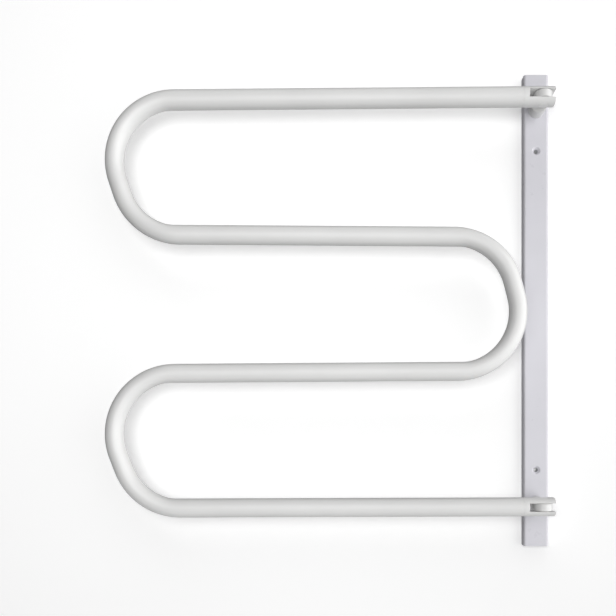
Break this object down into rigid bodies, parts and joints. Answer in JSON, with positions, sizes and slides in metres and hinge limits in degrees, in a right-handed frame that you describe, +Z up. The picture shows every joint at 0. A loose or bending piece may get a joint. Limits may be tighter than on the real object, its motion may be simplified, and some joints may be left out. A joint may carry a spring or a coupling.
{
  "type": "swivel heated towel rail",
  "caption": "Heated towel rail: a serpentine bent tube hung by forked hinges on a narrow wall channel, so that it swings out from the wall.",
  "frame": {"origin": "midway between the two wall screws, in the plane of the wall", "axes": "+Z up along the channel, +Y into the wall, +X to the right as seen from the room; at rest the bars lie to the left, along -X"},
  "size_m": [0.5221, 0.053, 0.5688],
  "materials": {
    "channel_paint": "gloss white powder coat",
    "arm_paint": "gloss white powder coat on a casting",
    "tube_paint": "gloss white powder coat",
    "fork_paint": "gloss white powder coat on a turned part",
    "cap": "white moulding",
    "zinc": "bright zinc plate",
    "pin_steel": "ground stainless steel",
    "bush_bronze": "sintered bronze",
    "contact_brass": "turned brass",
    "nylon": "natural nylon",
    "grey_rubber": "matt rubber",
    "lead_sheath": "silicone sheath",
    "cable_sheath": "silicone sheath",
    "cutout_case": "moulded case",
    "crimp": "insulated crimps"
  },
  "bodies": {
    "wall_bracket": {"wall_channel": "channel_paint", "screw_spacers": "zinc", "top_arm": "arm_paint", "bottom_arm": "arm_paint", "top_backing_plate": "zinc", "bottom_backing_plate": "zinc", "arm_screws": "zinc", "top_bush": "bush_bronze", "bottom_bush": "bush_bronze", "thrust_washers": "nylon", "lead_grommet": "grey_rubber", "supply_lead": "lead_sheath", "wiring_plate": "nylon", "terminal_block": "nylon", "terminal_contacts": "contact_brass", "terminal_screws": "zinc", "cord_clamp": "nylon", "clamp_screws": "zinc"},
    "towel_rail": {"rail_tube": "tube_paint", "top_fork": "fork_paint", "bottom_fork": "fork_paint", "fork_screws": "zinc", "top_pin": "pin_steel", "bottom_pin": "pin_steel", "top_pin_caps": "cap", "bottom_pin_caps": "cap", "rail_lead": "lead_sheath", "crimp_sleeves": "crimp", "thermal_cutout": "cutout_case", "heating_cable": "cable_sheath", "cable_end_seal": "grey_rubber"}
  },
  "joints": [
    {"name": "swivel", "type": "hinge", "parent": "wall_bracket", "child": "towel_rail", "pos_m": [0, -0.042, 0], "axis": [0, 0, 1], "range_deg": [0, 180]}
  ]
}
